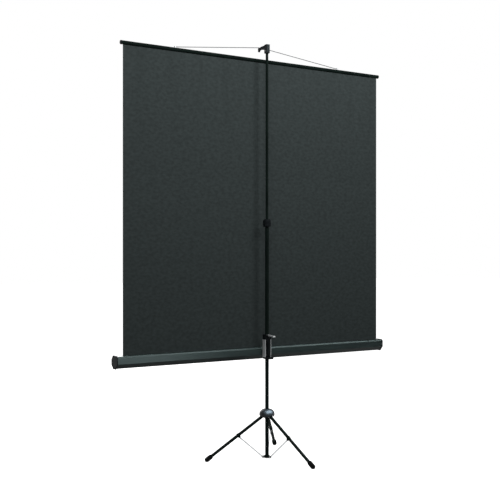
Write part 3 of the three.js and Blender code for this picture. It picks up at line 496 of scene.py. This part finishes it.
# twist lock collar, with flutes for the hand
collar = {
    "radius": 23.5,
    "bore": 11.5,
    "mouth": 8.8,
    "flutes": 10,
    "fluteRadius": 3.0,
    "fluteOffset": 25.0,
}
low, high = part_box("lock_collar")
height = (high.z - low.z) / mm
wide = collar["radius"]
piece = turnedPiece([
    (collar["bore"], 0), (wide - 2.6, 0), (wide - 1.6, 0.6), (wide - 0.5, 2.6), (wide, 4.4), (wide, height - 15),
    *arc(wide - 9.5, height - 15, 9.5, 15, 8, 82, 10), (wide - 9.5, height), (collar["mouth"] + 0.8, height),
    (collar["mouth"], height - 0.8), (collar["mouth"], height - 8), (15.4, height - 10), (15.4, 3),
    (collar["bore"], 2.4),
], 120, ring=True)
standAlong(piece, (mast.x, mast.y, low.z), Vector((0, 0, 1)))
flutes = []
for i in range(collar["flutes"]):
    turn = 2 * math.pi * i / collar["flutes"]
    across = collar["fluteOffset"] * mm
    flute = turnedPiece([
        (0.6, 0), *arc(0, 2.6, collar["fluteRadius"], 2.6, -70, 0, 4),
        *arc(0, 21, collar["fluteRadius"], 4, 0, 75, 4)], 24)
    flute.location = (mast.x + across * math.cos(turn), mast.y + across * math.sin(turn), low.z + 6 * mm)
    settle(flute)
    flutes.append(flute)
cutAway(piece, joined(flutes))
softenEdges(piece, 0.5, 2, 40)
smoothPiece(piece, 40)
putOn(piece, "lock_collar")
print("lock collar turned")


# slat caps, moulded plugs with a domed face
slatCap = {"radius": 11.6, "thick": 7.7, "fillet": 2.4}
for side, way in (("left", 1), ("right", -1)):
    node = "slat_end_cap_" + side
    low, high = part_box(node)
    reach = (high.x - low.x) / mm
    wide, thick, fillet = slatCap["radius"], slatCap["thick"], slatCap["fillet"]
    piece = turnedPiece([
        (8.6, 0), (9.3, 0.7), (9.3, reach - thick), (wide - 0.5, reach - thick), (wide, reach - thick + 0.5),
        *arc(wide - fillet, reach - fillet, fillet, fillet, 0, 80, 6), (wide - 5, reach), (3, reach),
    ], 56)
    standAlong(piece, (low.x if way > 0 else high.x, boxMiddle(node).y, boxMiddle(node).z), Vector((way, 0, 0)))
    smoothPiece(piece, 40)
    putOn(piece, node)
print("slat caps turned")


# hub dome, polished, with a slot for each leg in its rim
dome = {
    "radius": 45.7,
    "rimRadius": 40.6,
    "waist": 12.0,         # from the rim up to the widest part
    "bore": 11.5,
    "crownRadius": 15.5,
    "wall": 3.0,
    "slotHalf": 10.6,
    "slotHeight": 7.0,
}
low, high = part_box("hub_dome")
height = (high.z - low.z) / mm
wide, waist, crown = dome["radius"], dome["waist"], dome["crownRadius"]
rimDepth = wide - dome["rimRadius"]
inner = wide - dome["wall"]
piece = turnedPiece([
    *arc(dome["rimRadius"], waist, rimDepth, waist, -84, 0, 8),
    *arc(crown, waist, wide - crown, height - waist, 4, 88, 20), (dome["bore"] + 0.6, height),
    (dome["bore"], height - 0.6), (dome["bore"], height - 7.2),
    *arc(crown, waist, inner - crown, height - 7.2 - waist, 88, 0, 14),
    *arc(dome["rimRadius"] - dome["wall"], waist, rimDepth, waist, -12, -84, 6),
], 112, ring=True)
standAlong(piece, (mast.x, mast.y, low.z), Vector((0, 0, 1)))
legPivots = {letter: boxMiddle("leg_pivot_pin_" + letter) for letter in "abc"}
slots = []
for letter, pivot in legPivots.items():
    outward = Vector((pivot.x - mast.x, pivot.y - mast.y, 0)).normalized()
    clearSelection()
    bpy.ops.mesh.primitive_cube_add(size=1)
    slot = bpy.context.object
    slot.scale = (24 * mm, 2 * dome["slotHalf"] * mm, 2 * dome["slotHeight"] * mm)
    settle(slot)
    softenEdges(slot, 2.5, 4)
    slot.location = Vector((mast.x, mast.y, low.z)) + outward * 40 * mm
    slot.rotation_euler = (0, 0, math.atan2(outward.y, outward.x))
    settle(slot)
    slots.append(slot)
cutAway(piece, joined(slots))
smoothPiece(piece, 40)
putOn(piece, "hub_dome")
print("dome turned")


# legs, with rubber boots over their ends
leg = {
    "radius": 9.2,
    "wall": 1.2,
    "overrun": 5.0,        # past the pivot
    "ballHeight": 11.0,    # middle of the boot's round end above the floor
    "bootRadius": 14.0,
    "bootSleeve": 34.0,
}
for letter, pivot in legPivots.items():
    ball = mountOf["foot_" + letter] + Vector((0, 0, leg["ballHeight"] * mm))
    down = (ball - pivot).normalized()
    length = (ball - pivot).length / mm
    outer, inner, rim = leg["radius"], leg["radius"] - leg["wall"], 0.3
    tubeLength = length + leg["overrun"] - 2
    piece = turnedPiece([
        (inner, rim), (inner + rim, 0), (outer - rim, 0), (outer, rim),
        (outer, tubeLength - rim), (outer - rim, tubeLength), (inner + rim, tubeLength), (inner, tubeLength - rim),
    ], 48, ring=True)
    standAlong(piece, pivot - down * leg["overrun"] * mm, down)
    smoothPiece(piece, 40)
    putOn(piece, "leg_tube_" + letter)
    wide, sleeve = leg["bootRadius"], leg["bootSleeve"]
    piece = turnedPiece([
        (9.6, 32), (9.6, 0.6), (10.2, 0), (wide - 1.6, 0), *arc(wide - 1.6, 1.6, 1.6, 1.6, -70, 70, 6),
        (wide - 1.2, 4), (wide - 1.2, 5), (wide - 0.2, 6), (wide, 8), (wide, sleeve),
        *arc(0.01, sleeve, wide, wide, 8, 86, 12),
    ], 56)
    standAlong(piece, ball - down * sleeve * mm, down)
    bpy.ops.object.mode_set(mode="EDIT")
    bpy.ops.mesh.select_all(action="SELECT")
    bpy.ops.mesh.bisect(plane_co=(0, 0, 0), plane_no=(0, 0, 1), use_fill=True, clear_inner=True)
    bpy.ops.object.mode_set(mode="OBJECT")
    smoothPiece(piece, 40)
    putOn(piece, "leg_foot_" + letter)
print("legs turned")


# rivets and pivot pins with snap heads
rivets = {
    "leg_pivot_pin": {"shank": 2.5, "head": 4.0, "headHeight": 1.5},
    "clip_rivet": {"shank": 2.0, "head": 3.5, "headHeight": 1.5},
    "foot_rivet": {"shank": 2.0, "head": 3.5, "headHeight": 1.5},
}
for letter in "abc":
    hinge = Vector(jointOf["leg_" + letter + "_fold"]["axis"]).normalized()
    for kind, rivet in rivets.items():
        node = kind + "_" + letter
        middle = boxMiddle(node)
        reach = max(abs((Vector(v.co) - middle).dot(hinge)) for v in nodes[node].data.vertices) / mm
        head, cap = rivet["head"], rivet["headHeight"]
        piece = turnedPiece([
            *arc(0.01, cap, head, cap, -88, -4, 6), (head, cap), (rivet["shank"], cap),
            (rivet["shank"], 2 * reach - cap), (head, 2 * reach - cap),
            *arc(0.01, 2 * reach - cap, head, cap, 4, 88, 6),
        ], 32)
        standAlong(piece, middle - hinge * reach * mm, hinge)
        smoothPiece(piece, 40)
        putOn(piece, node)
print("rivets set")


# screen cloth, in two lengths that meet behind the lock collar
cloth = {
    "seam": 1.35,          # height where the two lengths meet
    "sideBorder": 0.035,
    "endBorder": 0.06,
    "reveal": 0.05,        # cloth above the case before the white begins
}
clothWhite = mattWhiteFront()
clothBorder = blackBorder()
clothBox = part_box("screen_fabric")
clothMiddle = boxMiddle("screen_fabric")
clothSize = clothBox[1] - clothBox[0]
whiteHalf = clothSize.x / 2 - cloth["sideBorder"]
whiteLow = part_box("case_shell")[1].z + cloth["reveal"]
whiteHigh = slatFoot - cloth["endBorder"]


def cutThrough(place, way):
    bpy.ops.mesh.select_all(action="SELECT")
    bpy.ops.mesh.bisect(plane_co=place, plane_no=way)


def clothLength(name, low, high, whiteEdge):
    clearSelection()
    bpy.ops.mesh.primitive_cube_add(size=1, location=(clothMiddle.x, clothMiddle.y, (low + high) / 2))
    piece = bpy.context.object
    piece.name = name
    piece.scale = (clothSize.x, clothSize.y, high - low)
    settle(piece)
    bpy.ops.object.mode_set(mode="EDIT")
    for side in (-whiteHalf, whiteHalf):
        cutThrough((clothMiddle.x + side, 0, 0), (1, 0, 0))
    cutThrough((0, 0, whiteEdge), (0, 0, 1))
    bpy.ops.mesh.select_all(action="DESELECT")
    bpy.ops.object.mode_set(mode="OBJECT")
    for material in (finishes["cloth"], clothWhite, clothBorder):
        piece.data.materials.append(material)
    for face in piece.data.polygons:
        if face.normal.y < -0.5:
            inside = abs(face.center.x - clothMiddle.x) < whiteHalf and whiteLow < face.center.z < whiteHigh
            face.material_index = 1 if inside else 2
    return piece


lowerCloth = clothLength("screenClothLower", clothBox[0].z, cloth["seam"], whiteLow)
upperCloth = clothLength("screenClothUpper", cloth["seam"], clothBox[1].z, whiteHigh)
clothEnds = (
    (lowerCloth, "carriage_slide", cloth["seam"] - clothBox[0].z),
    (upperCloth, "mast_extension", clothBox[1].z - cloth["seam"]),
)
for piece, joint, length in clothEnds:
    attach(piece, "mast")
    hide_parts("screen_fabric")
    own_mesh(piece)
print("cloth made")


# stage: pale floor that turns white to the camera, and soft studio light from high behind the mast
stage = {
    "floorSize": 60.0,
    "floorBounce": 0.08,
    "skyLevel": 0.345,
    "keyPower": 43,
    "fillPower": 32,
    "frontPower": 130,     # on the picture side
    "stripPower": 92,      # seen in gloss only
    "topPower": 800,       # seen in gloss only
    "domePower": 450,      # seen in gloss only
}


def seenDirectly(tree):
    rays = addNode(tree, "ShaderNodeLightPath")
    first = addNode(tree, "ShaderNodeMath", {
        0: rays.outputs["Is Camera Ray"], 1: rays.outputs["Is Glossy Ray"]}, operation="MAXIMUM")
    both = addNode(tree, "ShaderNodeMath", {
        0: first.outputs[0], 1: rays.outputs["Is Transmission Ray"]}, operation="MAXIMUM")
    return both.outputs[0]


clearSelection()
bpy.ops.mesh.primitive_plane_add(size=stage["floorSize"], location=(0, 0, -0.0005))
floor = bpy.context.object
floor.name = "studioFloor"
floorMaterial = bpy.data.materials.new("paleFloor")
floorMaterial.use_nodes = True
tree = floorMaterial.node_tree
tree.nodes.clear()
bounce = stage["floorBounce"]
dull = addNode(tree, "ShaderNodeBsdfDiffuse", {"Color": (bounce, bounce, bounce, 1)})
paint = addNode(tree, "ShaderNodeBsdfDiffuse", {"Color": (0.8, 0.8, 0.8, 1)})
glow = addNode(tree, "ShaderNodeEmission", {"Color": (1, 1, 1, 1), "Strength": 0.9})
bright = addNode(tree, "ShaderNodeAddShader", {0: paint.outputs[0], 1: glow.outputs[0]})
pick = addNode(tree, "ShaderNodeMixShader", {0: seenDirectly(tree), 1: dull.outputs[0], 2: bright.outputs[0]})
addNode(tree, "ShaderNodeOutputMaterial", {"Surface": pick.outputs[0]})
floor.data.materials.append(floorMaterial)

world = bpy.data.worlds.new("studio")
bpy.context.scene.world = world
world.use_nodes = True
tree = world.node_tree
tree.nodes.clear()
lit = addNode(tree, "ShaderNodeBackground", {"Color": (1, 1, 1, 1), "Strength": stage["skyLevel"]})
white = addNode(tree, "ShaderNodeBackground", {"Color": (1, 1, 1, 1), "Strength": 1.0})
pick = addNode(tree, "ShaderNodeMixShader", {0: seenDirectly(tree), 1: lit.outputs[0], 2: white.outputs[0]})
addNode(tree, "ShaderNodeOutputWorld", {"Surface": pick.outputs[0]})


def softLamp(name, place, target, size, power, colour=(1, 1, 1)):
    data = bpy.data.lights.new(name, "AREA")
    data.shape = "RECTANGLE"
    data.size, data.size_y = size
    data.energy = power
    data.color = colour
    lamp = bpy.data.objects.new(name, data)
    lamp.location = place
    lamp.rotation_euler = (Vector(target) - Vector(place)).to_track_quat("-Z", "Y").to_euler()
    bpy.context.scene.collection.objects.link(lamp)
    lamp.visible_camera = False
    return lamp


softLamp("keyLamp", (mast.x - 0.9, 1.9, 3.3), (mast.x - 0.4, 0, 3.0), (1.0, 0.9), stage["keyPower"])
softLamp("fillLamp", (mast.x + 1.3, 1.9, 3.3), (mast.x + 0.7, 0, 3.0), (1.6, 1.0), stage["fillPower"])
softLamp("frontLamp", (mast.x, -4.4, 2.2), (mast.x, 0, 1.5), (3.0, 2.4), stage["frontPower"])
strip = softLamp(
    "stripLamp", (mast.x - 0.9, 4.2, 0.13), (mast.x + 0.9, 0, 0.63), (1.5, 0.25), stage["stripPower"], (0.78, 1, 1))
top = softLamp(
    "topLamp", (mast.x - 1.1, mast.y + 1.6, 3.0), (mast.x - 1.1, mast.y + 1.6, 0), (3.6, 3.0),
    stage["topPower"], (0.7, 0.86, 0.86))
low = softLamp(
    "domeLamp", (mast.x - 0.18, mast.y + 0.6, 1.2), boxMiddle("hub_dome"), (1.8, 1.05),
    stage["domePower"], (0.65, 0.84, 1))
casePieces = ["case_shell", "case_end_cap_left", "case_end_cap_right"]
glossLamps = (    # each with the pieces that it reaches
    (strip, casePieces),
    (top, casePieces + ["hook_head", "leg_tube_a", "leg_tube_b", "leg_tube_c"]),
    (low, ["hub_dome"]),
)
for lamp, reached in glossLamps:
    lamp.visible_diffuse = False
    shiny = bpy.data.collections.new(lamp.name + "Reach")
    for node in reached:
        shiny.objects.link(finished[node])
    lamp.light_linking.receiver_collection = shiny
print("stage set")
